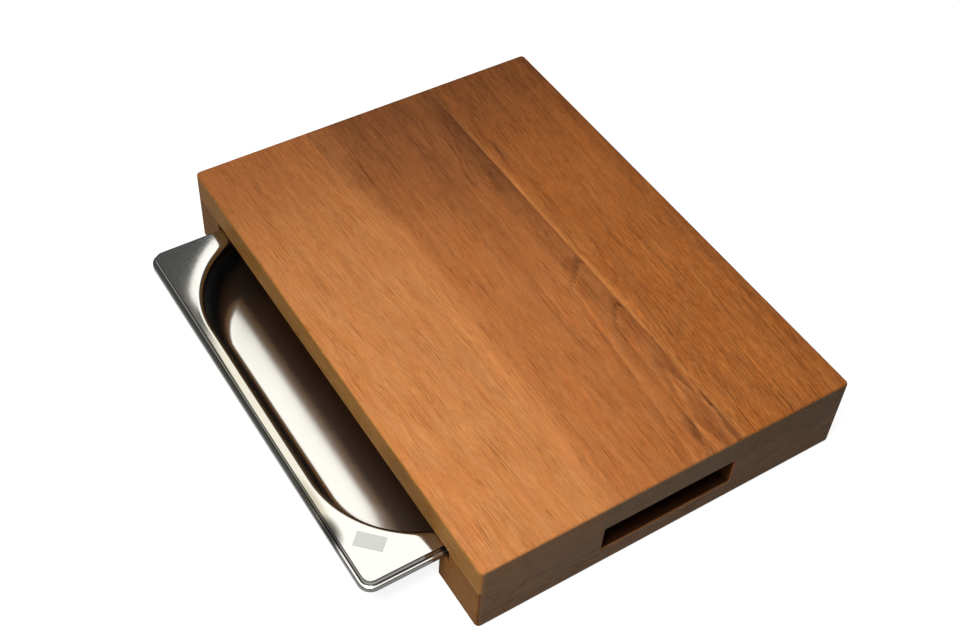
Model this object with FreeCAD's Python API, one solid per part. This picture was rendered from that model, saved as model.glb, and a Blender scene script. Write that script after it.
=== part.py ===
import FreeCAD, Part
import os

from FreeCAD import Rotation, Vector

# A wooden cutting board on two end blocks, with a pressed steel tray that slides in grooves under it.
# All lengths are millimetres. X runs along the board, the tray pulls out towards -Y, Z is up, and
# the origin is at the bottom centre of the whole object as it stands, tray partly pulled out.

# Tray: a half-size catering container
tray_length = 325.0  # along X, over the rim
tray_width = 265.0  # along Y, over the rim
tray_height = 28.3  # rim top to the floor's underside
sheet = 0.8  # steel thickness
rim_height = 8.0  # rim top to the bottom of its turned-down skirt
rim_corner_radius = 9.5  # outermost corner in plan
rim_step_drop = 4.0  # flat top of the rim down to its ledge
rim_step_run = 0.9  # how far that step leans out
rim_ledge = 2.1  # ledge width, step to skirt
rim_ledge_fall = 0.25  # how far the ledge falls on its way out
rim_crease_radius = 0.8  # bends of the rim's step
rim_shoulder_radius = 1.5  # bend from ledge to skirt
basin_inset = 11.5  # rim's outermost edge to the basin's wall
basin_corner_radius = 76.0  # basin's plan corner at the rim
basin_draft = 2.5  # how far the wall leans in, rim to floor
basin_mouth_radius = 4.5  # bend from the flat rim into the wall
basin_floor_radius = 12.7  # bend from the wall into the floor

# Paper label on the tray's front corner
label_length = 19.7
label_width = 10.9
label_thickness = 0.15
label_angle = 44.7  # degrees from +X
label_from_side = 29.0  # label centre to the rim's outermost edge at +X
label_from_front = 19.7  # label centre to the rim's outermost edge at -Y

# Fit of the tray in the board
side_play = 2.5  # rim to the groove's end, each side
groove_headroom = 1.0  # rim top to the panel's underside
floor_gap = 10.7  # tray floor to the surface the board stands on
basin_side_gap = 3.0  # basin wall to the end block's inner face
closed_recess = 0.5  # rim behind the board's front face, tray shut
stop_gap = 0.5  # rim to the rear rail, tray shut
tray_out = 57.5  # rim in front of the board's front face as it stands
tray_sideways = -1.0  # where the tray sits in its side play

# Board
panel_thickness = 24.0
groove_wall = 36.0  # wood between the groove's end and the board's end
rail_thickness = 28.0
front_plank_width = 91.5
rear_plank_width = 92.5
corner_radius = 3.5  # upright corners
top_edge_radius = 2.0
foot_edge_radius = 2.5
arris = 0.8  # small bevel on the inner edges

# Grip pocket in each end
pocket_length = 105.0
pocket_height = 22.5
pocket_depth = 22.0
pocket_end_radius = 20.0  # inner corner in plan, left by the cutter
pocket_lip_radius = 2.5  # rounded lower lip
pocket_side_bevel = 1.0

# Hidden dowels between the panel and what carries it
dowel_diameter = 8.0
dowel_in_panel = 14.0
dowel_in_block = 22.0
dowel_end_gap = 1.0  # glue space past each end of a dowel
dowel_bevel = 1.0
dowel_from_pocket = 22.0
dowel_from_corner = 22.0
rail_dowel_count = 4

# Heights
panel_z = floor_gap + tray_height + groove_headroom
board_height = panel_z + panel_thickness
rim_top_z = floor_gap + tray_height
groove_z = rim_top_z - rim_height
tray_floor_z = floor_gap + sheet
pocket_z = panel_z - pocket_height

# Places along X
groove_end_x = tray_length / 2 + side_play
block_inner_x = tray_length / 2 - basin_inset + basin_side_gap
board_end_x = groove_end_x + groove_wall
dowel_x = groove_end_x + groove_wall / 2

# Places along Y
board_depth = closed_recess + tray_width + stop_gap + rail_thickness
front_y = (tray_out - board_depth) / 2
back_y = front_y + board_depth
board_centre_y = (front_y + back_y) / 2
rail_face_y = back_y - rail_thickness
tray_front_y = front_y - tray_out
tray_centre_y = tray_front_y + tray_width / 2
front_seam_y = front_y + front_plank_width
rear_seam_y = back_y - rear_plank_width

UP = Vector(0, 0, 1)
ALONG_X = Vector(1, 0, 0)
ALONG_Y = Vector(0, 1, 0)


def box(x0, x1, y0, y1, z0, z1):
    """Box between two corners."""
    return Part.makeBox(x1 - x0, y1 - y0, z1 - z0, Vector(x0, y0, z0))


def edges_where(shape, test):
    """Edges of the shape whose middle and ends all pass the test."""
    chosen = []
    for edge in shape.Edges:
        middle = edge.valueAt((edge.FirstParameter + edge.LastParameter) / 2)
        points = [middle] + [vertex.Point for vertex in edge.Vertexes]
        if all(test(point) for point in points):
            chosen.append(edge)
    return chosen


def near(a, b):
    return abs(a - b) < 0.001


def bevel_cutter(start, end, into_one_face, into_other_face, size):
    """Prism that bevels a straight edge. The two directions run from the edge into its two faces."""
    outside = start - (into_one_face + into_other_face) * size
    corners = [start + into_one_face * size, outside, start + into_other_face * size]
    face = Part.Face(Part.makePolygon(corners + corners[:1]))
    return face.extrude(end - start)


# ---- board ----


def board_envelope():
    """The board's outside as one rounded block, from which its wooden pieces are taken."""
    block = box(-board_end_x, board_end_x, front_y, back_y, 0, board_height)
    half_depth = board_depth / 2

    def on_upright(p):
        return near(abs(p.x), board_end_x) and near(abs(p.y - board_centre_y), half_depth)

    block = block.makeFillet(corner_radius, edges_where(block, on_upright))
    block = block.makeFillet(top_edge_radius, edges_where(block, lambda p: near(p.z, board_height)))
    return block.makeFillet(foot_edge_radius, edges_where(block, lambda p: near(p.z, 0)))


def block_dowel_places(side):
    """Centres of the dowels that join one end block to the panel. side is -1 or +1."""
    beside_pocket = pocket_length / 2 + dowel_from_pocket
    near_corner = board_depth / 2 - dowel_from_corner
    offsets = [-near_corner, -beside_pocket, beside_pocket, near_corner]
    return [Vector(side * dowel_x, board_centre_y + offset, panel_z) for offset in offsets]


def rail_dowel_places():
    """Centres of the dowels that join the rear rail to the panel, evenly spaced."""
    spacing = 2 * block_inner_x / rail_dowel_count
    first = -block_inner_x + spacing / 2
    y = back_y - rail_thickness / 2
    return [Vector(first + i * spacing, y, panel_z) for i in range(rail_dowel_count)]


def dowels(places):
    """One group of equal dowels, half in the panel and half below it."""
    length = dowel_in_panel + dowel_in_block
    group = []
    for place in places:
        low_z = place.z - dowel_in_block
        pin = Part.makeCylinder(dowel_diameter / 2, length, place - UP * dowel_in_block)
        low_end = edges_where(pin, lambda p: near(p.z, low_z))
        high_end = edges_where(pin, lambda p: near(p.z, low_z + length))
        group.append(pin.makeChamfer(dowel_bevel, low_end + high_end))
    return Part.makeCompound(group)


def dowel_holes(places):
    """Blind holes for those dowels, in both pieces at once."""
    depth_below = dowel_in_block + dowel_end_gap
    length = depth_below + dowel_in_panel + dowel_end_gap
    holes = [Part.makeCylinder(dowel_diameter / 2, length, place - UP * depth_below) for place in places]
    return Part.makeCompound(holes)


def panel(envelope, holes):
    """The glued top before it is divided into planks: bevelled where the bay and the pockets open."""
    top = envelope.common(box(-board_end_x, board_end_x, front_y, back_y, panel_z, board_height))
    bay_start = Vector(-groove_end_x, front_y, panel_z)
    bay_end = Vector(groove_end_x, front_y, panel_z)
    cutters = [bevel_cutter(bay_start, bay_end, ALONG_Y, UP, arris)]
    for side in (-1, 1):
        start = Vector(side * board_end_x, board_centre_y - pocket_length / 2, panel_z)
        end = start + ALONG_Y * pocket_length
        cutters.append(bevel_cutter(start, end, ALONG_X * -side, UP, arris))
    return top.cut(Part.makeCompound(cutters)).cut(holes)


def plank(top, y0, y1):
    """One plank of the panel, between two seams."""
    return top.common(box(-board_end_x, board_end_x, y0, y1, panel_z, board_height))


def grip_pocket(side):
    """Room cut out for the fingers: bevelled at its ends, and with a flat back and round inner
    corners in plan. It opens upwards, so the panel is its ceiling."""
    half = pocket_length / 2
    mouth = half + pocket_side_bevel
    arc = pocket_end_radius
    flat = pocket_depth - arc
    middle = arc * (1 - 0.5**0.5)

    def at(depth, y):
        return Vector(side * (board_end_x - depth), board_centre_y + y, pocket_z)

    def end(towards):
        """Straight part and arc at one end of the pocket, from the mouth inwards."""
        return [
            Part.LineSegment(at(0, towards * mouth), at(pocket_side_bevel, towards * half)),
            Part.LineSegment(at(pocket_side_bevel, towards * half), at(flat, towards * half)),
            Part.Arc(
                at(flat, towards * half),
                at(pocket_depth - middle, towards * (half - middle)),
                at(pocket_depth, towards * (half - arc)),
            ),
        ]

    back = Part.LineSegment(at(pocket_depth, half - arc), at(pocket_depth, arc - half))
    opening = Part.LineSegment(at(0, mouth), at(0, -mouth))
    edges = [edge.toShape() for edge in end(1) + [back] + end(-1) + [opening] if edge.length() > 0.001]
    plan = Part.Face(Part.Wire(Part.__sortEdges__(edges)))
    return Part.makeCompound([plan.extrude(UP * pocket_height), lip_waste(plan, side, mouth)])


def lip_waste(plan, side, mouth):
    """What rounding the pocket's lower lip takes away: the square corner outside a long cylinder."""
    lip = pocket_lip_radius
    inner_x = side * (board_end_x - lip)
    x0, x1 = sorted((inner_x, side * board_end_x))
    corner = box(x0, x1, board_centre_y - mouth, board_centre_y + mouth, pocket_z - lip, pocket_z)
    axis_start = Vector(inner_x, board_centre_y - mouth, pocket_z - lip)
    kept = Part.makeCylinder(lip, 2 * mouth, axis_start, ALONG_Y)
    return plan.extrude(UP * -lip).common(corner).cut(kept)


def end_block(envelope, holes, side):
    """Block under one end of the panel, with the rim's groove, the grip pocket and the dowel holes."""
    x0, x1 = sorted((side * block_inner_x, side * board_end_x))
    block = envelope.common(box(x0, x1, front_y, back_y, 0, panel_z))

    groove_x0, groove_x1 = sorted((side * block_inner_x, side * groove_end_x))
    block = block.cut(box(groove_x0, groove_x1, front_y, rail_face_y, groove_z, panel_z))
    block = block.cut(grip_pocket(side))

    def on_inner_mouth(p):
        return near(p.y, front_y) and side * p.x < groove_end_x + 0.001 and p.z > foot_edge_radius - 0.001

    return block.makeChamfer(arris, edges_where(block, on_inner_mouth)).cut(holes)


def rear_rail(envelope, holes):
    """Rail under the panel's back edge, between the end blocks, which stops the tray."""
    rail = envelope.common(box(-block_inner_x, block_inner_x, rail_face_y, back_y, 0, panel_z))
    foot = edges_where(rail, lambda p: near(p.y, rail_face_y) and near(p.z, 0))
    return rail.makeChamfer(arris, foot).cut(holes)


# ---- tray ----


def rounded_outline(half_x, half_y, radius, z):
    """Rectangle with round corners about the tray's centre, as a closed wire."""
    centre = Vector(tray_sideways, tray_centre_y, z)
    quarter_point = radius * 0.5**0.5
    edges = []
    for sx, sy in ((1, 1), (-1, 1), (-1, -1), (1, -1)):
        corner = centre + Vector(sx * (half_x - radius), sy * (half_y - radius), 0)
        on_x = corner + Vector(sx * radius, 0, 0)
        on_y = corner + Vector(0, sy * radius, 0)
        first, last = (on_x, on_y) if sx == sy else (on_y, on_x)
        edges.append(Part.Arc(first, corner + Vector(sx, sy, 0) * quarter_point, last).toShape())
    closed = []
    for i, arc in enumerate(edges):
        following = edges[(i + 1) % len(edges)]
        closed.append(arc)
        closed.append(Part.makeLine(arc.Vertexes[-1].Point, following.Vertexes[0].Point))
    return Part.Wire(closed)


def tapered(half_low, half_high, radius_low, radius_high, z_low, z_high):
    """Solid between two rounded rectangles. Each half size is a pair, along X and along Y."""
    low = rounded_outline(half_low[0], half_low[1], radius_low, z_low)
    high = rounded_outline(half_high[0], half_high[1], radius_high, z_high)
    return Part.makeLoft([low, high], True, True)


def rim_solid(inset, top_z, bottom_z):
    """Filled rim: a straight skirt, a slightly falling ledge and a leaning step above it. The rim's
    sheet is what lies between this solid as it is and the same solid inset and lowered by the thickness."""
    ledge_z = top_z - rim_step_drop
    shoulder_z = ledge_z - rim_ledge_fall
    skirt = (tray_length / 2 - inset, tray_width / 2 - inset)
    step_foot = (skirt[0] - rim_ledge, skirt[1] - rim_ledge)
    step_head = (step_foot[0] - rim_step_run, step_foot[1] - rim_step_run)
    skirt_radius = rim_corner_radius - inset
    foot_radius = skirt_radius - rim_ledge
    head_radius = foot_radius - rim_step_run
    lower = tapered(skirt, skirt, skirt_radius, skirt_radius, bottom_z, shoulder_z)
    ledge = tapered(skirt, step_foot, skirt_radius, foot_radius, shoulder_z, ledge_z)
    upper = tapered(step_foot, step_head, foot_radius, head_radius, ledge_z, top_z)
    rim = lower.fuse([ledge, upper]).removeSplitter()

    def on_shoulder(p):
        over_x = abs(p.x - tray_sideways) - (skirt[0] - skirt_radius)
        over_y = abs(p.y - tray_centre_y) - (skirt[1] - skirt_radius)
        reach = max(over_x, over_y, (max(over_x, 0) ** 2 + max(over_y, 0) ** 2) ** 0.5)
        return near(p.z, shoulder_z) and near(reach, skirt_radius)

    def on_crease(p):
        return near(p.z, ledge_z)

    rim = rim.makeFillet(rim_shoulder_radius - inset, edges_where(rim, on_shoulder))
    return rim.makeFillet(rim_crease_radius + inset, edges_where(rim, on_crease))


def basin_solid(grow):
    """Filled basin: leaning walls with a round bend into the floor, larger all round by grow."""
    floor_z = tray_floor_z - grow
    draft_per_mm = basin_draft / (rim_top_z - tray_floor_z)
    draft = draft_per_mm * (rim_top_z - floor_z)
    mouth = (tray_length / 2 - basin_inset + grow, tray_width / 2 - basin_inset + grow)
    floor = (mouth[0] - draft, mouth[1] - draft)
    mouth_radius = basin_corner_radius + grow
    basin = tapered(floor, mouth, mouth_radius - draft, mouth_radius, floor_z, rim_top_z)
    return basin.makeFillet(basin_floor_radius + grow, edges_where(basin, lambda p: near(p.z, floor_z)))


def tray():
    """One pressed sheet: basin, flat rim, stepped edge and turned-down skirt."""
    skirt_z = rim_top_z - rim_height
    outside = basin_solid(sheet)
    inside = basin_solid(0)
    rim = rim_solid(0, rim_top_z, skirt_z)
    under_rim = rim_solid(sheet, rim_top_z - sheet, skirt_z - sheet)
    shell = rim.cut(under_rim).fuse(outside).removeSplitter().cut(inside)

    def on_mouth(p):
        return near(p.z, rim_top_z) and near_basin(p, 0)

    def under_mouth(p):
        return near(p.z, rim_top_z - sheet) and near_basin(p, sheet)

    shell = shell.makeFillet(basin_mouth_radius, edges_where(shell, on_mouth))
    return shell.makeFillet(basin_mouth_radius - sheet, edges_where(shell, under_mouth))


def near_basin(p, grow):
    """Whether a point is in plan within half a millimetre of the basin's mouth outline."""
    radius = basin_corner_radius + grow
    over_x = abs(p.x - tray_sideways) - (tray_length / 2 - basin_inset - basin_corner_radius)
    over_y = abs(p.y - tray_centre_y) - (tray_width / 2 - basin_inset - basin_corner_radius)
    reach = (max(over_x, 0) ** 2 + max(over_y, 0) ** 2) ** 0.5
    return abs(reach - radius) < 0.5


def tray_label():
    """Bare paper label stuck flat on the rim's wide corner."""
    centre_x = tray_sideways + tray_length / 2 - label_from_side
    centre_y = tray_front_y + label_from_front
    corner = Vector(-label_length / 2, -label_width / 2, 0)
    label = Part.makeBox(label_length, label_width, label_thickness, corner)
    label.Placement = FreeCAD.Placement(Vector(centre_x, centre_y, rim_top_z), Rotation(UP, label_angle))
    return label


def build_nodes():
    """Every piece by name."""
    envelope = board_envelope()
    groups = {
        "dowels_left": block_dowel_places(-1),
        "dowels_right": block_dowel_places(1),
        "dowels_rear": rail_dowel_places(),
    }
    holes = {name: dowel_holes(places) for name, places in groups.items()}
    top = panel(envelope, Part.makeCompound(list(holes.values())))
    nodes = {
        "plank_front": plank(top, front_y, front_seam_y),
        "plank_middle": plank(top, front_seam_y, rear_seam_y),
        "plank_rear": plank(top, rear_seam_y, back_y),
        "end_block_left": end_block(envelope, holes["dowels_left"], -1),
        "end_block_right": end_block(envelope, holes["dowels_right"], 1),
        "rear_rail": rear_rail(envelope, holes["dowels_rear"]),
        "tray": tray(),
        "tray_label": tray_label(),
    }
    for name, places in groups.items():
        nodes[name] = dowels(places)
    return nodes


os.makedirs("parts", exist_ok=True)
for node, shape in build_nodes().items():
    shape.exportStep(f"parts/{node}.step")
    print(f"{node}: {len(shape.Solids)} solids, {shape.Volume / 1000:.1f} cm3, valid {shape.isValid()}")
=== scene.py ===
"""Looks of a wooden cutting board with a slide-in steel tray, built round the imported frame.

Everything is in metres in the frame's own axes: +X along the board, the tray pulls out towards -Y, +Z up.
"""

import logging
import math
from dataclasses import dataclass
from enum import Enum
from typing import Any, Sequence, Union

import bpy
import numpy as np
from mathutils import Matrix, Vector


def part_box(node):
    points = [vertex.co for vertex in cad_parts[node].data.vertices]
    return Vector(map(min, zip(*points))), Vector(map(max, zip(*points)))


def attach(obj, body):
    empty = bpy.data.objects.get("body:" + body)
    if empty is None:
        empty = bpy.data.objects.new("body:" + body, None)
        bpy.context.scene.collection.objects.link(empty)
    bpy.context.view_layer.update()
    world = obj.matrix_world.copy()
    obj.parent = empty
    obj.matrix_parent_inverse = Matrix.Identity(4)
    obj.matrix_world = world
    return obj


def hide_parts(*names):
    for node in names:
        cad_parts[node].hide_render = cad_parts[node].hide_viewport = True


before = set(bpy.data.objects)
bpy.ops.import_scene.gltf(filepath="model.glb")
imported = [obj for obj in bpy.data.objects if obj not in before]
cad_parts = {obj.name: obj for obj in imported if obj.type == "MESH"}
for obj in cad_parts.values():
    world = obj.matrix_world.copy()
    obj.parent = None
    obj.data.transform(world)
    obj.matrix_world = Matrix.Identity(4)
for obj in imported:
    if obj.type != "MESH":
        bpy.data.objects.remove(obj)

LOG = logging.getLogger("board")
MM = 0.001
FRONT_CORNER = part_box("plank_front")[0]
BACK_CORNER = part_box("plank_rear")[1]
BOARD_CENTRE_Y = (FRONT_CORNER.y + BACK_CORNER.y) / 2
BOARD_HALF = BACK_CORNER.x / MM
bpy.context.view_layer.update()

Pair = tuple[float, float]
Triple = tuple[float, float, float]
Number = Union[float, "Signal"]


# ---- shader maths ----


class Signal:
    """A number that varies over a surface: an output socket with the usual operators."""

    def __init__(self, tree: "Tree", socket: bpy.types.NodeSocket) -> None:
        """Wraps one output socket of a node in the tree."""
        self.tree = tree
        self.socket = socket

    def _math(self, operation: str, *values: Number) -> "Signal":
        """Adds one Math node.

        Args:
            operation: the Math node's operation.
            values: its inputs in order, numbers or signals.

        Returns:
            The node's result.
        """
        node = self.tree.add("ShaderNodeMath", {"operation": operation}, dict(enumerate(values)))
        return Signal(self.tree, node.outputs[0])

    def __add__(self, other: Number) -> "Signal":
        """Sum."""
        return self._math("ADD", self, other)

    __radd__ = __add__

    def __sub__(self, other: Number) -> "Signal":
        """Difference."""
        return self._math("SUBTRACT", self, other)

    def __rsub__(self, other: Number) -> "Signal":
        """Difference with the signal on the right."""
        return self._math("SUBTRACT", other, self)

    def __mul__(self, other: Number) -> "Signal":
        """Product."""
        return self._math("MULTIPLY", self, other)

    __rmul__ = __mul__

    def __truediv__(self, other: Number) -> "Signal":
        """Quotient."""
        return self._math("DIVIDE", self, other)

    def __pow__(self, other: Number) -> "Signal":
        """Power."""
        return self._math("POWER", self, other)

    def __abs__(self) -> "Signal":
        """Absolute value."""
        return self._math("ABSOLUTE", self)

    def least(self, other: Number) -> "Signal":
        """The smaller of the two."""
        return self._math("MINIMUM", self, other)

    def most(self, other: Number) -> "Signal":
        """The larger of the two."""
        return self._math("MAXIMUM", self, other)

    def rise(self, low: float, high: float) -> "Signal":
        """Smooth step.

        Args:
            low: where the result is 0.
            high: where the result is 1; below low, it falls instead.

        Returns:
            0 to 1 with soft ends.
        """
        settings = {"interpolation_type": "SMOOTHSTEP"}
        if high < low:
            return 1 - self.rise(high, low)
        sockets = {"Value": self, "From Min": low, "From Max": high}
        node = self.tree.add("ShaderNodeMapRange", settings, sockets)
        return Signal(self.tree, node.outputs[0])


class Tree:
    """Builds the nodes of one material or world."""

    def __init__(self, owner: Any) -> None:
        """Empties a node tree and keeps it.

        Args:
            owner: the material or world that the tree belongs to.
        """
        owner.use_nodes = True
        self.tree = owner.node_tree
        self.tree.nodes.clear()

    def add(self, kind: str, settings: dict[str, Any], sockets: dict[Union[str, int], Any]) -> bpy.types.Node:
        """Adds a node.

        Args:
            kind: the node's type.
            settings: its properties, set first.
            sockets: input name or index to a number, a tuple, a signal or an output socket.

        Returns:
            The node.
        """
        node = self.tree.nodes.new(kind)
        for name, value in settings.items():
            setattr(node, name, value)
        for name, value in sockets.items():
            if isinstance(value, Signal):
                value = value.socket
            if isinstance(value, bpy.types.NodeSocket):
                self.tree.links.new(value, node.inputs[name])
            elif node.inputs[name].type == "RGBA":
                node.inputs[name].default_value = (*value, 1.0)
            else:
                node.inputs[name].default_value = value
        return node

    def place(self, centre: Triple = (0.0, 0.0, 0.0)) -> tuple[Signal, Signal, Signal]:
        """Object coordinates in millimetres about a centre.

        Args:
            centre: the point, in metres, that becomes the origin.

        Returns:
            The X, Y and Z signals.
        """
        coordinates = self.add("ShaderNodeTexCoord", {}, {}).outputs["Object"]
        shift = tuple(-value for value in centre)
        moved = self.add("ShaderNodeMapping", {}, {"Vector": coordinates, "Location": shift})
        scale = (1 / MM, 1 / MM, 1 / MM)
        scaled = self.add("ShaderNodeMapping", {}, {"Vector": moved.outputs[0], "Scale": scale})
        return self.split(scaled.outputs[0])

    def split(self, vector: Any) -> tuple[Signal, Signal, Signal]:
        """The three parts of a vector."""
        node = self.add("ShaderNodeSeparateXYZ", {}, {0: vector})
        return Signal(self, node.outputs[0]), Signal(self, node.outputs[1]), Signal(self, node.outputs[2])

    def join(self, x: Number, y: Number, z: Number) -> bpy.types.NodeSocket:
        """A vector from three parts."""
        return self.add("ShaderNodeCombineXYZ", {}, {0: x, 1: y, 2: z}).outputs[0]

    def noise(self, x: Number, y: Number, z: Number, detail: float = 2.0, rough: float = 0.5) -> Signal:
        """Soft noise of about 0 to 1 whose cells are one unit of the given coordinates."""
        sockets = {"Vector": self.join(x, y, z), "Scale": 1.0, "Detail": detail, "Roughness": rough}
        return Signal(self, self.add("ShaderNodeTexNoise", {}, sockets).outputs[0])

    def line_noise(self, along: Signal, detail: float = 2.0, rough: float = 0.5) -> Signal:
        """Noise that varies along one number only."""
        sockets = {"W": along, "Scale": 1.0, "Detail": detail, "Roughness": rough}
        return Signal(self, self.add("ShaderNodeTexNoise", {"noise_dimensions": "1D"}, sockets).outputs[0])

    def blend(self, factor: Number, first: Any, second: Any, mode: str = "MIX") -> bpy.types.NodeSocket:
        """Mixes two colours.

        Args:
            factor: 0 gives the first colour, 1 the second.
            first: a colour or a colour socket.
            second: the same.
            mode: the Mix node's blend type.

        Returns:
            The mixed colour.
        """
        settings = {"data_type": "RGBA", "blend_type": mode}
        node = self.add("ShaderNodeMix", settings, {0: factor, 6: first, 7: second})
        return node.outputs[2]

    def bump(self, height: Signal, depth: float, strength: float = 1.0) -> bpy.types.NodeSocket:
        """Normal of a fine relief.

        Args:
            height: the relief, 0 to 1.
            depth: how deep that range is, in metres.
            strength: how much of it shows.

        Returns:
            The normal.
        """
        sockets = {"Height": height, "Distance": depth, "Strength": strength}
        return self.add("ShaderNodeBump", {}, sockets).outputs[0]

    def surface(self, sockets: dict[str, Any]) -> None:
        """Ends a material in one Principled shader with these inputs."""
        shader = self.add("ShaderNodeBsdfPrincipled", {}, sockets)
        self.add("ShaderNodeOutputMaterial", {}, {"Surface": shader.outputs[0]})


def new_material(name: str) -> tuple[bpy.types.Material, Tree]:
    """An empty material and its tree."""
    material = bpy.data.materials.new(name)
    return material, Tree(material)


def dress(piece: bpy.types.Object, material: bpy.types.Material) -> None:
    """Gives a piece one material all over."""
    piece.data.materials.clear()
    piece.data.materials.append(material)


def from_srgb(red: float, green: float, blue: float) -> Triple:
    """Linear colour of an 8-bit screen colour."""
    return tuple(
        value / 12.92 if value <= 0.04045 else ((value + 0.055) / 1.055) ** 2.4
        for value in (red / 255, green / 255, blue / 255)
    )


# ---- finishes ----


class Grain(Enum):
    """Which way the fibres of a wooden piece run."""

    ALONG_X = "x"
    ALONG_Y = "y"


@dataclass(frozen=True)
class Mark:
    """A soft patch that follows the grain: place and half sizes in millimetres about the board's centre."""

    x: float
    y: float
    half_length: float
    half_width: float
    tone: float
    slant: float = 0.0


@dataclass(frozen=True)
class Flame:
    """One tongue of a cathedral figure that opens towards +X: place of its tip and half width in millimetres.

    The edge stands half_width * step(distance from the tip / opening) off the tongue's middle line,
    which drops by fall per millimetre.
    """

    x: float
    y: float
    half_width: float
    opening: float
    fall: float
    outer: float = -0.15
    inner: float = 0.09


@dataclass(frozen=True)
class OiledWood:
    """Oiled hardwood. Lengths are millimetres about the board's centre.

    The tone, 0 deep to 1 pale, is a level with a fall towards the -X end, soft bands and mottle from
    noise stretched along the grain, marks and flames, and fine fibres and pores on top.
    On the faces that the grain runs into, rings about a pith below the plank take the bands' place.

    The fall to the left is partly the wood's own tone and partly painted shade, and the left tint,
    partly painted shade too, comes in with it. Warm and cool tints alternate in wide patches along
    the grain. The edge tint colours one long edge from edge_from to edge_to across the board. Side,
    end, under and pocket tints colour the faces of those kinds: the side tint is painted shade and
    sheen, the end tint is partly the end grain's own colour and partly painted sheen, and the under
    and pocket tints are painted shade. The side shade stretch is painted shade that darkens a stretch
    of the upright long faces near the +X end, and fibre_right strengthens the fibres towards that end.
    """

    level: float = 0.55
    left_shade_fall: float = 0.36
    fall_from: float = -20.0
    fall_to: float = -210.0
    side_shade_stretch: float = 0.0
    pale: Triple = (0.73, 0.248, 0.066)
    deep: Triple = (0.14, 0.042, 0.011)
    pore: Triple = (0.115, 0.028, 0.006)
    left_shade_tint: Triple = (1.0, 1.0, 1.0)
    warm_tint: Triple = (1.0, 0.96, 0.90)
    cool_tint: Triple = (1.0, 1.04, 1.10)
    edge_tint: Triple = (1.0, 1.0, 1.0)
    edge_from: float = -500.0
    edge_to: float = -501.0
    grain: Grain = Grain.ALONG_X
    slant: float = 0.0
    seed: float = 0.0
    band: float = 0.17
    mottle: float = 0.05
    fibre: float = 1.0
    fibre_right: float = 0.0
    pores: float = 0.55
    pith_across: float = 0.0
    pith_up: float = -90.0
    ring_width: float = 2.5
    rings: float = 0.3
    side_shade_and_sheen: Triple = (0.88, 1.06, 0.78)
    end_grain_and_sheen: Triple = (0.52, 0.93, 1.84)
    under_painted_shade: Triple = (0.35, 0.35, 0.35)
    pocket_painted_shade: Triple = (0.09, 0.09, 0.10)
    pocket_shading: float = 0.0
    roughness: float = 0.46
    marks: tuple[Mark, ...] = ()
    flames: tuple[Flame, ...] = ()

    def material(self, name: str) -> bpy.types.Material:
        """Makes the material.

        Args:
            name: what to call it.

        Returns:
            The material.
        """
        material, tree = new_material(name)
        x, y, z = tree.place(centre=(0.0, BOARD_CENTRE_Y, 0.0))
        angle = math.radians(self.slant)
        along = x * math.cos(angle) + y * math.sin(angle) + self.seed * 61.0
        across = y * math.cos(angle) - x * math.sin(angle)
        if self.grain is Grain.ALONG_Y:
            along, across = y + self.seed * 61.0, x
        ends, sides, under, pocket = self.faces(tree, x, y)
        fine, pores = self.fibres(tree, along, across, z)
        fine = fine * (1 + x.rise(-60.0, 100.0) * self.fibre_right)
        tone = self.level + self.broad(tree, along, across, z, ends) + fine
        # darker towards -X: partly the wood's own tone, partly painted shade
        left = x.rise(self.fall_from, self.fall_to) * (1 - sides)
        # painted shade: a stretch of the long upright faces near +X
        stretch = x.rise(70.0, 100.0) * x.rise(165.0, 140.0) * sides
        tone = tone - left * self.left_shade_fall - stretch * self.side_shade_stretch
        if self.marks or self.flames:
            tone = tone + self.placed(tree, x, y, z) * (1 - ends)
        colour = tree.blend(tone, self.deep, self.pale)
        colour = tree.blend(pores * self.pores, colour, self.pore)
        warm = tree.noise(along / 32, across / 9 + 5.0, z / 9, 2.0).rise(0.35, 0.65)
        tint = tree.blend(warm, self.cool_tint, self.warm_tint)
        # the left tint is partly painted shade, coming in with the fall
        tint = tree.blend(left, tint, self.left_shade_tint)
        tint = tree.blend(y.rise(self.edge_from, self.edge_to) * (1 - ends), tint, self.edge_tint)
        # painted shade and sheen on the long upright faces
        tint = tree.blend(sides, tint, self.side_shade_and_sheen)
        # the end grain's own colour, partly painted sheen
        tint = tree.blend(ends, tint, self.end_grain_and_sheen)
        # painted shade on the faces that point down
        tint = tree.blend(under, tint, self.under_painted_shade)
        # painted shade inside a block's pocket
        tint = tree.blend(pocket, tint, self.pocket_painted_shade)
        tree.surface({
            "Base Color": tree.blend(1.0, colour, tint, "MULTIPLY"),
            "Roughness": self.roughness + pores * 0.25 + (fine * 0.2),
            "Specular IOR Level": 0.08,
            "Normal": tree.bump(0.6 + fine * 0.5 - pores * 0.5, 0.00015, 0.5),
        })
        return material

    def faces(self, tree: Tree, along: Signal, across: Signal) -> tuple[Signal, Signal, Signal, Signal]:
        """Masks of the four kinds of face.

        Args:
            tree: where the nodes go.
            along: millimetres along the board.
            across: millimetres across it.

        Returns:
            The faces that the grain runs into, the upright ones along it, the underside, and what
            lies inside a block's outer face, apart from its long upright sides beyond the pocket,
            which is where the pocket's painted shade goes.
        """
        x, y, z = tree.split(tree.add("ShaderNodeTexCoord", {}, {}).outputs["Normal"])
        walls = abs(y).rise(0.6, 0.95) * (1 - abs(across).rise(60.0, 55.0) * 0.8)
        # where painted shade darkens the inside of a block's pocket
        pocket = (1 - walls) * abs(along).rise(BOARD_HALF - 0.3, BOARD_HALF - 1.3) * self.pocket_shading
        if self.grain is Grain.ALONG_Y:
            x, y = y, x
        return abs(x).rise(0.6, 0.95), abs(y).rise(0.6, 0.95), z.rise(-0.7, -0.95), pocket

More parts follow.
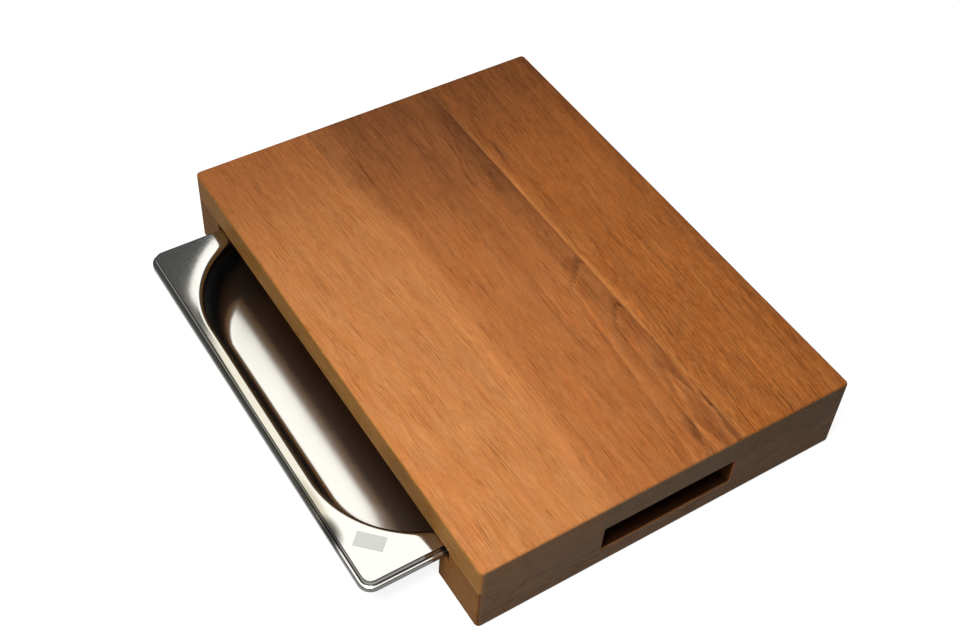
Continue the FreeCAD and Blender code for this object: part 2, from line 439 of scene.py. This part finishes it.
    def broad(self, tree: Tree, along: Signal, across: Signal, up: Signal, ends: Signal) -> Signal:
        """Bands, mottle and rings.

        Args:
            tree: where the nodes go.
            along: millimetres along the grain.
            across: millimetres across it.
            up: millimetres up.
            ends: mask of the faces that the grain runs into.

        Returns:
            What they add to the tone.
        """
        wander = (tree.noise(along / 90, across / 40, up / 40, 2.0) - 0.5) * 10.0
        side = across + wander
        fine = tree.noise(along / 38, side / 3.6, up / 3.6, 2.0) - 0.5
        middle = tree.noise(along / 70, side / 8 + 7.0, up / 8, 2.0) - 0.5
        wide = tree.noise(along / 110, side / 19 + 3.0, up / 19, 2.0) - 0.5
        mottle = tree.noise(along / 4.2, across / 2.0, up / 2.0, 3.0, 0.65) - 0.5
        cloud = tree.noise(along / 13, across / 6 + 9.0, up / 6, 2.0) - 0.5
        bands = (fine + middle + wide) * self.band * 1.15
        height = up - self.pith_up
        radius = ((across - self.pith_across) ** 2 + height * height) ** 0.5 + wander * 0.5
        rings = (tree.line_noise(radius / self.ring_width, 3.0, 0.6) - 0.5) * self.rings
        return bands * (1 - ends) + rings * ends + mottle * self.mottle * 3.4 + cloud * self.mottle * 3.0

    def fibres(self, tree: Tree, along: Signal, across: Signal, up: Signal) -> tuple[Signal, Signal]:
        """Fine streaks and open pores.

        Args:
            tree: where the nodes go.
            along: millimetres along the grain.
            across: millimetres across it.
            up: millimetres up.

        Returns:
            What the streaks add to the tone, and the pores, 0 to 1.
        """
        across = across + (tree.noise(along / 70, across / 25, up / 25, 2.0) - 0.5) * 7.0
        where = tree.noise(along / 45, across / 9 + 2.0, up / 9, 2.0).rise(0.38, 0.62)
        short = tree.noise(along / 5, across / 0.55, up / 0.55, 2.0, 0.6) - 0.5
        long = tree.noise(along / 50, across / 1.2 + 4.0, up / 1.2, 2.0, 0.6) - 0.5
        dark = tree.noise(along / 45, across / 0.5 + 8.0, up / 0.5, 0.0).rise(0.63, 0.72)
        dark = dark * (0.15 + where * 0.85)
        light = tree.noise(along / 35, across / 0.55 + 1.0, up / 0.55, 0.0).rise(0.64, 0.76)
        dashes = tree.noise(along / 14, across / 0.5 + 11.0, up / 0.5, 0.0).rise(0.66, 0.76)
        dashes = dashes * (0.2 + where * 0.8)
        hair = tree.noise(along / 9, across / 0.36 + 6.0, up / 0.36, 0.0) - 0.5
        streaks = short * 0.42 + hair * 0.35 + long * 0.26 - dark * 0.12 + light * 0.12
        return streaks * self.fibre, dashes.most(dark)

    def placed(self, tree: Tree, x: Signal, y: Signal, z: Signal) -> Signal:
        """Sum of the marks and flames, with edges that fray along the grain.

        A mark is tone * max(0, 1 - (dx / half_length)^2 - (dy / half_width)^2) with dx and dy turned
        by its slant.

        Args:
            tree: where the nodes go.
            x: millimetres along the board.
            y: millimetres across it.
            z: millimetres up.

        Returns:
            What they add to the tone.
        """
        x = x + (tree.noise(x / 9, y / 1.0, z / 9, 2.0) - 0.5) * 11.0
        y = y + (tree.noise(x / 25, y / 8, z / 30 + 5.0, 2.0) - 0.5) * 6.0
        total = 0.0
        for mark in self.marks:
            angle = math.radians(mark.slant)
            dx, dy = x - mark.x, y - mark.y
            far = (dx * (math.cos(angle) / mark.half_length) + dy * (math.sin(angle) / mark.half_length)) ** 2
            off = (dy * (math.cos(angle) / mark.half_width) - dx * (math.sin(angle) / mark.half_width)) ** 2
            total = total + (1 - far - off).most(0.0) * mark.tone
        for flame in self.flames:
            ahead = x - flame.x
            half = ahead.rise(-0.15 * flame.opening, flame.opening) * flame.half_width
            behind = ahead.rise(0.0, -0.6 * flame.opening) * 12.0
            inside = half - abs(y - flame.y + ahead * flame.fall) - behind
            dark = inside.rise(-8.0, -0.4) * inside.rise(0.6, -0.4)
            light = inside.rise(-0.4, 0.6) * inside.rise(5.0, 0.9)
            total = total + dark * flame.outer + light * flame.inner
        return total


@dataclass(frozen=True)
class ReflectionOval:
    """A soft oval of painted reflection on the steel: place and half sizes in millimetres, and the share of
    colour left.
    """

    x: float
    y: float
    half_x: float
    half_y: float
    tint: Triple


@dataclass(frozen=True)
class PolishedSteel:
    """Deep-drawn stainless steel: bright, with faint rolling lines along X and a few painted reflections,
    warm and dark.

    The basin is duller than the rim, and the upper part of its wall has a darker, bluer painted reflection.
    Round the rim's step and down its skirt, where the sheet is bent hardest, painted reflection darkens the
    colour.
    Lengths are millimetres. The way out from the rim's edge is the distance to a rounded rectangle.
    """

    colour: Triple = (0.50, 0.493, 0.47)
    roughness: float = 0.088
    basin_roughness: float = 0.165
    basin_painted_reflection: Triple = (0.72, 0.80, 0.88)
    bend_painted_reflection: Triple = (0.30, 0.30, 0.27)
    skirt_painted_reflection: Triple = (0.55, 0.55, 0.55)
    # painted reflections: a warm sheen along the front rim and dark reflections on the front step
    painted_reflections: tuple[ReflectionOval, ...] = (
        ReflectionOval(-5.0, -171.0, 150.0, 8.0, (0.86, 0.83, 0.73)),
        ReflectionOval(90.0, -174.5, 34.0, 7.0, (0.60, 0.55, 0.42)),
        ReflectionOval(113.0, -175.0, 17.0, 9.0, (0.06, 0.057, 0.045)),
    )

    def material(self, name: str, centre: Pair, half: Pair, top: float, corner: float) -> bpy.types.Material:
        """Makes the material.

        Args:
            name: what to call it.
            centre: the tray's centre along X and Y.
            half: its half sizes.
            top: height of its rim.
            corner: outermost corner's radius.

        Returns:
            The material.
        """
        material, tree = new_material(name)
        x, y, z = tree.place()
        lines = tree.noise(x / 40, y / 0.35, z / 0.35, 2.0, 0.6)
        smear = tree.noise(x / 60, y / 35, z / 35, 2.0)
        across = (abs(x - centre[0]) - (half[0] - corner)).most(0.0)
        along = (abs(y - centre[1]) - (half[1] - corner)).most(0.0)
        outwards = (across ** 2 + along ** 2) ** 0.5 - corner
        drop = top - z
        rim = outwards.rise(-6.0, -5.0)
        basin = (1 - rim) * drop.rise(0.1, 1.5)
        step = outwards.rise(-3.5, -3.1) * drop.rise(1.3, 0.9)
        crease = outwards.rise(-3.0, -2.6) * drop.rise(2.9, 3.3) * drop.rise(3.95, 3.85)
        skirt = outwards.rise(-0.6, -0.2) * drop.rise(4.3, 4.9)
        colour = self.colour
        # painted reflections: a warm sheen along the front rim and dark reflections on the front step towards
        # +X
        for blotch in self.painted_reflections:
            far = ((x - blotch.x) / blotch.half_x) ** 2 + ((y - blotch.y) / blotch.half_y) ** 2
            inside = (1 - far).rise(0.0, 1.0)
            reflected = tuple(base * part for base, part in zip(self.colour, blotch.tint))
            colour = tree.blend(inside, colour, reflected)
        # painted reflection: the step, crease and skirt darkened
        tint = tree.blend(step.most(crease), (1.0, 1.0, 1.0), self.bend_painted_reflection)
        tint = tree.blend(skirt, tint, self.skirt_painted_reflection)
        # painted reflection: the upper basin wall darker and bluer
        tint = tree.blend((1 - rim) * drop.rise(1.5, 6.0) * drop.rise(20.0, 12.0), tint, self.basin_painted_reflection)
        dull = self.roughness + basin * (self.basin_roughness - self.roughness)
        tree.surface({
            "Base Color": tree.blend(1.0, colour, tint, "MULTIPLY"),
            "Metallic": 1.0,
            "Roughness": dull + (lines - 0.5) * 0.05 + (smear - 0.5) * 0.05,
            "Coat Weight": 0.6,
            "Coat Roughness": 0.42,
            "Normal": tree.bump(lines, 0.00002, 0.10),
        })
        return material


@dataclass(frozen=True)
class LabelPaper:
    """Plain coated paper, a little grey with handling."""

    colour: Triple = from_srgb(206, 208, 202)

    def material(self, name: str) -> bpy.types.Material:
        """Makes the material.

        Args:
            name: what to call it.

        Returns:
            The material.
        """
        material, tree = new_material(name)
        x, y, z = tree.place()
        fibre = tree.noise(x / 0.5, y / 0.5, z / 0.5, 3.0)
        blotch = tree.noise(x / 6, y / 6, z / 6, 2.0)
        shade = tree.blend(fibre * 0.12 + blotch * 0.15, self.colour, from_srgb(160, 162, 156))
        tree.surface({
            "Base Color": shade,
            "Roughness": 0.45,
            "Normal": tree.bump(fibre, 0.00003, 0.3),
        })
        return material


# ---- tray ----


def rounded_section(corners: Sequence[Triple], steps: int) -> tuple[np.ndarray, np.ndarray]:
    """Polyline with its corners rounded, as an open section.

    Each inner corner (u, z, radius) becomes an arc tangent to both of its sides: the arc starts
    radius * tan(turn / 2) before the corner and ends as far after it.

    Args:
        corners: (u, z, radius) of each point; the two ends' radii are not used.
        steps: points on each arc.

    Returns:
        The points (n, 2) and the unit tangents (n, 2).
    """
    points = [np.array(corners[0][:2])[None]]
    tangents = []
    for before, here, after in zip(corners, corners[1:], corners[2:]):
        corner = np.array(here[:2])
        arrive = corner - np.array(before[:2])
        leave = np.array(after[:2]) - corner
        arrive /= np.linalg.norm(arrive)
        leave /= np.linalg.norm(leave)
        turn = math.atan2(arrive[0] * leave[1] - arrive[1] * leave[0], float(arrive @ leave))
        angle = np.linspace(0.0, turn, steps)
        cos, sin = np.cos(angle), np.sin(angle)
        along = np.stack([arrive[0] * cos - arrive[1] * sin, arrive[0] * sin + arrive[1] * cos], 1)
        inwards = np.sign(turn) * np.array([-arrive[1], arrive[0]])
        centre = corner - arrive * here[2] * math.tan(abs(turn) / 2) + inwards * here[2]
        outwards = -np.sign(turn) * np.stack([-along[:, 1], along[:, 0]], 1)
        points.append(centre + outwards * here[2])
        if not tangents:
            tangents.append(arrive[None])
        tangents.append(along)
    points.append(np.array(corners[-1][:2])[None])
    tangents.append(leave[None])
    return np.concatenate(points), np.concatenate(tangents)


@dataclass
class SteelTray:
    """Half-size catering container: one pressed sheet with a flat rim, a step, a ledge and a skirt.

    Lengths are metres. The bend from the wall to the floor is floor_bend, and grows to corner_bend in
    the two corners towards -X. The ledge falls on its way out along the long sides only.
    """

    rim_height: float = 8.0 * MM
    step_drop: float = 4.0 * MM
    step_run: float = 0.9 * MM
    ledge: float = 2.1 * MM
    ledge_fall: float = 0.18 * MM
    edge_bend: float = 0.35 * MM
    crease_bend: float = 0.4 * MM
    shoulder_bend: float = 0.7 * MM
    rim_corner: float = 9.5 * MM
    basin_inset: float = 11.5 * MM
    basin_corner: float = 76.0 * MM
    draft: float = 2.5 * MM
    mouth_bend: float = 4.5 * MM
    floor_bend: float = 13.4 * MM
    corner_bend: float = 20.5 * MM
    sheet: float = 0.8 * MM
    rim_sag: float = 0.55 * MM
    sag_reach: float = 24.0 * MM
    lead: float = 2.0 * MM
    basin_steps: int = 16
    rim_steps: int = 8
    floor_shares: tuple[float, ...] = (0.0, 0.06, 0.2, 0.5, 0.8)
    flat_shares: tuple[float, ...] = (0.08, 0.22, 0.4, 0.6, 0.8)

    def __post_init__(self) -> None:
        """Takes the overall size and place from the frame."""
        low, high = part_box("tray")
        self.centre = np.array([(low.x + high.x) / 2, (low.y + high.y) / 2])
        self.half = np.array([(high.x - low.x) / 2, (high.y - low.y) / 2])
        self.top = high.z
        self.floor = low.z + self.sheet
        self.basin_half = self.half - self.basin_inset

    def around(self) -> tuple[np.ndarray, np.ndarray]:
        """Samples the way round the basin.

        On each corner arc the sample's base is the arc's centre and its normal turns with the angle,
        closer together near the diagonal, where the rim's small corner lies. On each straight side
        the normal is fixed and the base moves from one arc's centre to the next.

        Returns:
            Bases (n, 2) about the tray's centre and unit normals (n, 2).
        """
        straight = 14
        quarter = np.concatenate([
            np.linspace(0.0, 0.72, 20, endpoint=False),
            np.linspace(0.72, 0.85, 18, endpoint=False),
            np.linspace(0.85, math.pi / 2, 21),
        ])
        arc_x, arc_y = self.basin_half - self.basin_corner
        bases, normals = [], []
        for index, (sx, sy) in enumerate(((1, 1), (-1, 1), (-1, -1), (1, -1))):
            angle = quarter + index * math.pi / 2
            normal = np.stack([np.cos(angle), np.sin(angle)], 1)
            here = np.array([sx * arc_x, sy * arc_y])
            following = np.array([-sy * arc_x, sx * arc_y])
            share = np.linspace(0.0, 1.0, straight + 2)[1:-1, None]
            bases.append(np.repeat(here[None], len(angle), 0))
            bases.append(here + (following - here) * share)
            normals.append(normal)
            normals.append(np.repeat(normal[-1:], straight, 0))
        return np.concatenate(bases), np.concatenate(normals)

    def rim_outline(self, bases: np.ndarray, normals: np.ndarray) -> tuple[np.ndarray, np.ndarray]:
        """Where each sample's ray meets the outer edge of the flat rim.

        The edge is a rectangle with corners of radius r: a ray meets one of its sides, unless it
        would pass through a corner square, where it meets the circle |p - c| = r instead.

        Args:
            bases: start of each ray.
            normals: its direction.

        Returns:
            The points and the edge's outward normals there.
        """
        inset = self.ledge + self.step_run
        half = self.half - inset
        radius = self.rim_corner - inset
        sign = np.where(normals >= 0, 1.0, -1.0)
        start, ray = bases * sign, np.abs(normals)
        reach = np.where(ray > 1e-9, (half - start) / np.maximum(ray, 1e-9), np.inf)
        side = reach.argmin(1)
        points = start + ray * reach.min(1)[:, None]
        outward = np.eye(2)[side]
        centre = half - radius
        offset = start - centre
        middle = (offset * ray).sum(1)
        square = middle**2 - (offset**2).sum(1) + radius**2
        on_circle = start + ray * (-middle + np.sqrt(np.maximum(square, 0)))[:, None]
        cornered = (points > centre).all(1)
        points = np.where(cornered[:, None], on_circle, points)
        outward = np.where(cornered[:, None], (on_circle - centre) / radius, outward)
        return points * sign, outward * sign

    def roll(
        self, grid: np.ndarray, bases: np.ndarray, normals: np.ndarray, edge: np.ndarray, depth: float
    ) -> np.ndarray:
        """How far each point drops where the wide corners of the rim roll over into the basin.

        With u the distance outside the basin's wall and w the flat's extra width there, as a share
        of its inset, the drop is sag * (1 - u / reach)^3 * w * (2 - w), and it fades to nothing
        down the wall.

        Args:
            grid: the tray's points (rows, ring, 3) about its centre, with the rim's top at 0.
            bases: start of each sample's ray.
            normals: its direction.
            edge: where it meets the edge of the flat.
            depth: rim top to basin floor.

        Returns:
            The drops (rows, ring).
        """
        outside = ((grid[..., :2] - bases) * normals).sum(-1) - self.basin_corner
        flat = ((edge - bases) * normals).sum(-1) - self.basin_corner
        narrow = self.basin_inset - self.ledge - self.step_run
        wide = np.clip((flat - narrow) / self.basin_inset, 0, 1)
        near = np.clip(1 - np.maximum(outside, 0) / self.sag_reach, 0, 1)
        high = np.clip(1 + grid[..., 2] / depth, 0, 1)
        return self.rim_sag * near**3 * wide * (2 - wide) * high

    def build(self) -> bpy.types.Object:
        """Makes the tray's mesh.

        The upper face is the basin's section carried round the basin's outline, straight lines over
        the flat rim, and the rim's section carried round the rim's edge. The lower face is the same
        surface offset by the sheet's thickness, and the two meet at the skirt's lower edge.

        Returns:
            The tray.
        """
        bases, normals = self.around()
        edge, outward = self.rim_outline(bases, normals)
        depth = self.top - self.floor
        straight, corner = (
            rounded_section(
                (
                    (-self.draft - self.corner_bend - self.lead, -depth, 0.0),
                    (-self.draft, -depth, bend),
                    (0.0, 0.0, self.mouth_bend),
                    (self.mouth_bend + self.lead, 0.0, 0.0),
                ),
                self.basin_steps,
            )
            for bend in (self.floor_bend, self.corner_bend)
        )
        cornered = np.where(normals[:, 0] < 0, abs(2 * normals[:, 0] * normals[:, 1]), 0)[None, :, None]
        basin = straight[0][:, None] * (1 - cornered) + corner[0][:, None] * cornered
        basin_tangent = straight[1][:, None] * (1 - cornered) + corner[1][:, None] * cornered
        basin_tangent /= np.linalg.norm(basin_tangent, axis=-1, keepdims=True)
        rim, rim_tangent = rounded_section(
            (
                (-self.edge_bend - self.lead / 2, 0.0, 0.0),
                (0.0, 0.0, self.edge_bend),
                (self.step_run, -self.step_drop, self.crease_bend),
                (self.step_run + self.ledge, -self.step_drop, self.shoulder_bend),
                (self.step_run + self.ledge, -self.rim_height, 0.0),
            ),
            self.rim_steps,
        )

        def face(thickness: float) -> np.ndarray:
            """One face of the sheet as rows of points, from the middle of the floor outwards.

            Args:
                thickness: how far the face lies under the upper one.

            Returns:
                The points (rows, ring, 3) about the tray's centre.
            """
            under = np.array([1.0, -1.0]) * thickness
            basin_uz = basin + basin_tangent[..., ::-1] * under
            rim_uz = rim + rim_tangent[:, ::-1] * under
            wall = [bases + normals * (self.basin_corner + row[:, :1]) for row in basin_uz[:-1]]
            floor_z = basin_uz[0, :, 1]
            rows = [np.column_stack([wall[0] * share, floor_z]) for share in self.floor_shares]
            rows += [np.column_stack([place, row[:, 1]]) for place, row in zip(wall, basin_uz)]
            last = rows[-1]
            first = np.column_stack([edge + outward * rim_uz[0, 0], np.full(len(edge), rim_uz[0, 1])])
            for share in self.flat_shares:
                rows.append(last + (first - last) * share)
            fall = self.ledge_fall * abs(outward[:, 1])
            for u, z in rim_uz:
                past_step = min(max((u - self.step_run) / self.ledge, 0.0), 1.0)
                rows.append(np.column_stack([edge + outward * u, z - fall * past_step]))
            return np.stack(rows)

        grid = np.concatenate([face(0.0), face(self.sheet)[::-1]])
        grid[..., 2] -= self.roll(grid, bases, normals, edge, depth)
        grid[..., :2] += self.centre
        grid[..., 2] += self.top
        return closed_tube("tray_shell", grid)

    def dress(self, tray: bpy.types.Object) -> None:
        """Gives the tray its finish.

        Args:
            tray: the built tray.
        """
        centre = (self.centre[0] / MM, self.centre[1] / MM)
        half = (self.half[0] / MM, self.half[1] / MM)
        corner = self.rim_corner / MM
        dress(tray, PolishedSteel().material("steel", centre, half, self.top / MM, corner))


def closed_tube(name: str, grid: np.ndarray) -> bpy.types.Object:
    """Closed surface from rows of points: each row is a ring, and the first and last shrink to poles.

    Args:
        name: the object's name.
        grid: (rows, ring, 3); all the points of the first row are one, and of the last row too.

    Returns:
        A smooth-shaded object at the origin.
    """
    rows, ring, _ = grid.shape
    middle = grid[1:-1].reshape(-1, 3)
    points = np.concatenate([middle, grid[0, :1], grid[-1, :1]])
    row, column = np.meshgrid(np.arange(rows - 3), np.arange(ring), indexing="ij")
    right = (column + 1) % ring
    inner, outer = row * ring, (row + 1) * ring
    quads = np.stack([inner + column, outer + column, outer + right, inner + right], -1)
    start = np.arange(ring)
    after = (start + 1) % ring
    first_pole, last_pole = len(middle), len(middle) + 1
    last_row = (rows - 3) * ring
    fan_in = np.stack([np.full(ring, first_pole), start, after], 1)
    fan_out = np.stack([np.full(ring, last_pole), last_row + after, last_row + start], 1)
    faces = quads.reshape(-1, 4).tolist() + fan_in.tolist() + fan_out.tolist()
    mesh = bpy.data.meshes.new(name)
    mesh.from_pydata(points, [], faces)
    mesh.polygons.foreach_set("use_smooth", np.ones(len(faces), bool))
    mesh.update()
    piece = bpy.data.objects.new(name, mesh)
    bpy.context.scene.collection.objects.link(piece)
    return piece


# ---- studio ----


@dataclass(frozen=True)
class Softbox:
    """A rectangular lamp: place and aim in metres, level of its face where 1 is white, angles in degrees."""

    name: str
    place: Triple
    aim: Triple
    size: Pair
    level: float
    colour: Triple = (1.0, 1.0, 1.0)
    turn: float = 0.0
    spread: float = 180.0


@dataclass
class Studio:
    """Pale floor, soft light from above and the camera."""

    azimuth: float = 54.5626
    elevation: float = 48.602
    roll: float = 4.3085
    camera_place: Triple = (0.55214, -0.38332, 0.79154)
    focal_share: float = 1408.83 / 960.0
    floor_half: float = 40.0
    floor_glow: float = 0.86
    floor_mirrored: float = 0.15
    surroundings: float = 0.1
    floor_colour: Triple = (0.4, 0.4, 0.4)
    lamps: tuple[Softbox, ...] = (
        Softbox(
            "overhead", (-0.80, 0.295, 1.5), (-0.80, 0.295, 0.0), (0.65, 2.6), 2.0, (1.0, 0.985, 0.95), 53.13
        ),
        Softbox("key", (0.26, -0.36, 0.72), (0.12, -0.10, 0.06), (0.35, 0.35), 4.4, spread=106.0),
    )

    def camera(self) -> None:
        """Adds the camera: it looks along -back, turned by the roll about its line of sight."""
        side, lift, roll = (math.radians(value) for value in (self.azimuth, self.elevation, self.roll))
        back = Vector((math.sin(side) * math.cos(lift), -math.cos(side) * math.cos(lift), math.sin(lift)))
        level = Vector((0, 0, 1)).cross(back).normalized()
        upright = back.cross(level)
        right = level * math.cos(roll) + upright * math.sin(roll)
        up = upright * math.cos(roll) - level * math.sin(roll)
        data = bpy.data.cameras.new("camera")
        data.sensor_fit = "HORIZONTAL"
        data.sensor_width = 36.0
        data.lens = 36.0 * self.focal_share
        data.clip_start = 0.01
        camera = bpy.data.objects.new("camera", data)
        rotation = Matrix((right, up, back)).transposed()
        camera.matrix_world = Matrix.Translation(self.camera_place) @ rotation.to_4x4()
        bpy.context.scene.collection.objects.link(camera)
        bpy.context.scene.camera = camera

    def floor(self) -> None:
        """Adds the floor: near white to the camera, dark grey in reflections, and dark to other light."""
        half = self.floor_half
        mesh = bpy.data.meshes.new("floor")
        corners = [(-half, -half, 0), (half, -half, 0), (half, half, 0), (-half, half, 0)]
        mesh.from_pydata(corners, [], [(0, 1, 2, 3)])
        floor = bpy.data.objects.new("floor", mesh)
        bpy.context.scene.collection.objects.link(floor)
        material, tree = new_material("floor_white")
        direct, mirrored = self.seen(tree)
        glow = tree.blend(mirrored, (0.0, 0.0, 0.0), (self.floor_mirrored,) * 3)
        tree.surface({
            "Base Color": self.floor_colour,
            "Roughness": 0.9,
            "Specular IOR Level": 0.0,
            "Emission Color": tree.blend(direct, glow, (self.floor_glow,) * 3),
            "Emission Strength": 1.0,
        })
        dress(floor, material)

    @staticmethod
    def seen(tree: Tree) -> tuple[Signal, Signal]:
        """Masks of the kinds of ray.

        Args:
            tree: where the nodes go.

        Returns:
            The rays from the camera or through glass, and those in reflections.
        """
        path = tree.add("ShaderNodeLightPath", {}, {})
        names = ("Is Camera Ray", "Is Glossy Ray", "Is Transmission Ray")
        camera, glossy, through = (Signal(tree, path.outputs[name]) for name in names)
        return camera.most(through), glossy

    def world(self) -> None:
        """Dim even surroundings."""
        world = bpy.data.worlds.new("surroundings")
        bpy.context.scene.world = world
        tree = Tree(world)
        sockets = {"Color": (1.0, 1.0, 1.0), "Strength": self.surroundings}
        light = tree.add("ShaderNodeBackground", {}, sockets)
        tree.add("ShaderNodeOutputWorld", {}, {"Surface": light.outputs[0]})

    def softbox(self, lamp: Softbox) -> None:
        """Adds one rectangular lamp.

        Args:
            lamp: its place, aim, size and light.
        """
        data = bpy.data.lights.new(lamp.name, "AREA")
        data.shape = "RECTANGLE"
        data.size, data.size_y = lamp.size
        data.color = lamp.colour
        data.energy = lamp.level * math.pi * lamp.size[0] * lamp.size[1]
        data.spread = math.radians(lamp.spread)
        item = bpy.data.objects.new(lamp.name, data)
        away = Vector(lamp.place) - Vector(lamp.aim)
        turn = Matrix.Rotation(math.radians(lamp.turn), 4, "Z")
        aimed = away.to_track_quat("Z", "Y").to_matrix().to_4x4()
        item.matrix_world = Matrix.Translation(lamp.place) @ aimed @ turn
        bpy.context.scene.collection.objects.link(item)

    def build(self) -> None:
        """Sets the scene."""
        self.camera()
        self.floor()
        self.world()
        for lamp in self.lamps:
            self.softbox(lamp)
        bpy.context.scene.view_settings.view_transform = "Standard"


# ---- board ----


FRONT_WOOD = OiledWood(
    level=0.71, left_shade_fall=0.25, side_shade_stretch=0.22, fall_from=-40.0, fall_to=-240.0, slant=2.7, seed=1.3,
    pith_across=-90.0, pale=(0.715, 0.274, 0.082), deep=(0.14, 0.045, 0.012), pore=(0.23, 0.055, 0.012),
    left_shade_tint=(1.0, 0.89, 0.82), end_grain_and_sheen=(0.54, 0.75, 1.16),
    marks=(
        Mark(110.0, -101.0, 16.0, 6.0, 0.12),
        Mark(-87.0, -104.5, 5.0, 0.8, -0.30),
        Mark(-135.0, -123.0, 22.0, 0.7, -0.20, 2.7),
        Mark(88.0, -86.0, 16.0, 0.7, -0.22, 2.7),
        Mark(59.0, -72.0, 11.0, 0.7, -0.20, 2.7),
        Mark(0.0, -58.0, 230.0, 4.0, 0.04),
    ),
)
MIDDLE_WOOD = OiledWood(
    level=0.56, fibre=0.75, fibre_right=0.3, seed=4.1, slant=-1.5, pith_across=20.0, pith_up=-60.0,
    edge_tint=(1.0, 1.09, 1.20), edge_from=-32.0, edge_to=-53.0,
    marks=(
        Mark(0.0, -58.0, 260.0, 20.0, 0.26),
        Mark(-10.0, 62.0, 330.0, 30.0, -0.20),
        Mark(-85.0, 52.0, 100.0, 22.0, -0.10),
        Mark(-86.0, 46.0, 22.0, 7.0, -0.10, -8.0),
        Mark(17.0, 47.0, 9.0, 9.0, -0.14),
        Mark(-126.0, -46.0, 16.0, 4.0, -0.08),
        Mark(-74.0, -42.0, 20.0, 4.5, 0.14),
        Mark(-130.0, -37.0, 36.0, 1.0, -0.14),
        Mark(-118.0, 38.0, 42.0, 1.2, -0.14, -13.0),
        Mark(-112.0, 32.0, 40.0, 1.0, -0.12, -12.0),
        Mark(65.0, 50.5, 11.0, 4.0, -0.16),
        Mark(88.0, 40.5, 8.0, 3.0, -0.14),
        Mark(134.0, 50.0, 42.0, 3.5, -0.10, -1.5),
        Mark(50.0, 30.0, 34.0, 6.0, 0.10, -6.0),
        Mark(180.0, 42.0, 30.0, 12.0, -0.12),
        Mark(-75.0, 14.0, 95.0, 30.0, -0.10),
        Mark(-185.0, -44.0, 40.0, 10.0, 0.12),
    ),
    flames=(
        Flame(18.0, 52.0, 17.5, 22.0, 0.11),
        Flame(66.0, 50.5, 10.0, 16.0, 0.07),
        Flame(129.5, 44.5, 11.0, 55.0, 0.0),
        Flame(173.0, 35.0, 6.0, 25.0, 0.05),
    ),
)
REAR_WOOD = OiledWood(
    level=0.52, left_shade_fall=0.30, fall_from=-50.0, fall_to=-215.0, pale=(0.72, 0.230, 0.050), slant=-4.0,
    seed=7.7, mottle=0.065, pith_across=110.0, fibre_right=0.8, edge_tint=(1.0, 1.12, 1.30),
    edge_from=59.0, edge_to=57.0,
    marks=(
        Mark(0.0, 56.0, 230.0, 6.0, 0.06),
        Mark(15.0, 56.0, 150.0, 2.4, 0.22),
        Mark(-75.0, 66.0, 80.0, 6.0, -0.10),
        Mark(0.0, 72.0, 260.0, 9.0, -0.07),
        Mark(-111.0, 65.0, 16.0, 2.0, -0.18, -3.0),
        Mark(29.0, 71.0, 6.0, 2.5, 0.14),
        Mark(-67.0, 56.5, 8.0, 2.0, 0.14),
        Mark(0.0, 152.0, 260.0, 22.0, -0.16),
    ),
)
BLOCK_WOOD = OiledWood(
    level=0.52, left_shade_fall=0.0, grain=Grain.ALONG_Y, seed=2.9, pocket_shading=1.0, side_shade_and_sheen=(0.58, 0.96, 1.82),
    end_grain_and_sheen=(0.74, 0.87, 0.52),
)
RAIL_WOOD = OiledWood(level=0.5, left_shade_fall=0.0, seed=5.5)
DOWEL_WOOD = OiledWood(
    level=0.5, left_shade_fall=0.0, pale=from_srgb(214, 184, 140), deep=from_srgb(170, 136, 96),
    pore=from_srgb(140, 108, 72), side_shade_and_sheen=(1.0, 1.0, 1.0), end_grain_and_sheen=(0.8, 0.8, 0.8),
)


@dataclass
class Board:
    """The wooden board's own pieces, which keep their shapes and get their finishes."""

    planks: tuple[OiledWood, ...] = (FRONT_WOOD, MIDDLE_WOOD, REAR_WOOD)
    block: OiledWood = BLOCK_WOOD
    rail: OiledWood = RAIL_WOOD
    dowel: OiledWood = DOWEL_WOOD

    def dress(self) -> None:
        """Gives every wooden piece its finish."""
        finishes = dict(zip(("plank_front", "plank_middle", "plank_rear"), self.planks))
        finishes |= {name: self.block for name in ("end_block_left", "end_block_right")}
        finishes["rear_rail"] = self.rail
        finishes |= {name: self.dowel for name in ("dowels_left", "dowels_right", "dowels_rear")}
        for name, finish in finishes.items():
            dress(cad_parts[name], finish.material(name))
            LOG.info("dressed %s", name)


@dataclass
class TrayLabel:
    """The paper label on the tray's corner, which keeps its shape and gets its finish."""

    paper: LabelPaper = LabelPaper()

    def dress(self) -> None:
        """Gives the label its finish."""
        dress(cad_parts["tray_label"], self.paper.material("label"))
        LOG.info("dressed tray_label")


def main() -> None:
    """Builds and dresses every piece."""
    logging.basicConfig(level=logging.INFO)
    Studio().build()
    Board().dress()
    shell = SteelTray()
    tray = shell.build()
    shell.dress(tray)
    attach(tray, "tray")
    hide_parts("tray")
    LOG.info("built %s with %d faces", tray.name, len(tray.data.polygons))
    TrayLabel().dress()


if __name__ == "__main__":
    main()
